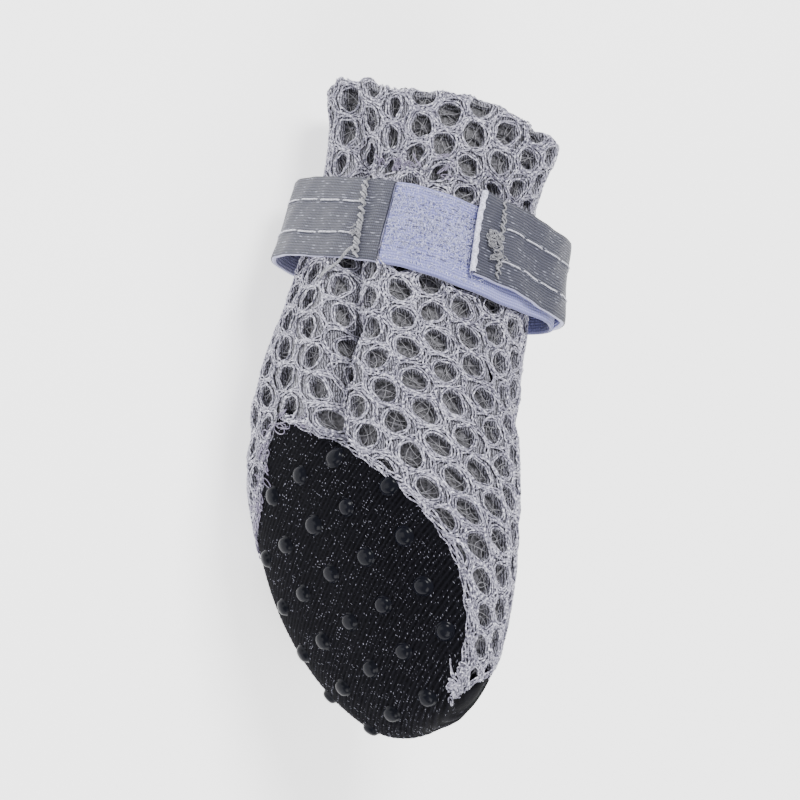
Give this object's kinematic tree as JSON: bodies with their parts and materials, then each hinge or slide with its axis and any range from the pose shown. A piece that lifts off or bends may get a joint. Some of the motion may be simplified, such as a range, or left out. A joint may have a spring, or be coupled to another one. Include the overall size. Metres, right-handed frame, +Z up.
{
  "type": "dog boot",
  "caption": "Soft sock-shaped dog boot of honeycomb mesh with a black sole panel of rubber grip dots and a hook-and-loop strap, lying on its side.",
  "frame": {"origin": "on the floor under the middle of the whole boot", "axes": "+Z up from the floor, the boot lying on its inner flank; the toe points to +X and -Y, the shaft runs to +Y, and the sole faces -Y"},
  "size_m": [0.0794, 0.1012, 0.0506],
  "materials": {
    "spacer_mesh": "matte honeycomb spacer mesh",
    "black_twill": "ribbed twill with moulded rubber dots",
    "grey_ribbon": "ribbed reflective webbing",
    "loop_tape": "fuzzy loop pile"
  },
  "bodies": {
    "root": {"upper": "spacer_mesh", "sole": "black_twill", "strap": "grey_ribbon", "loop_tape": "loop_tape"}
  },
  "joints": []
}
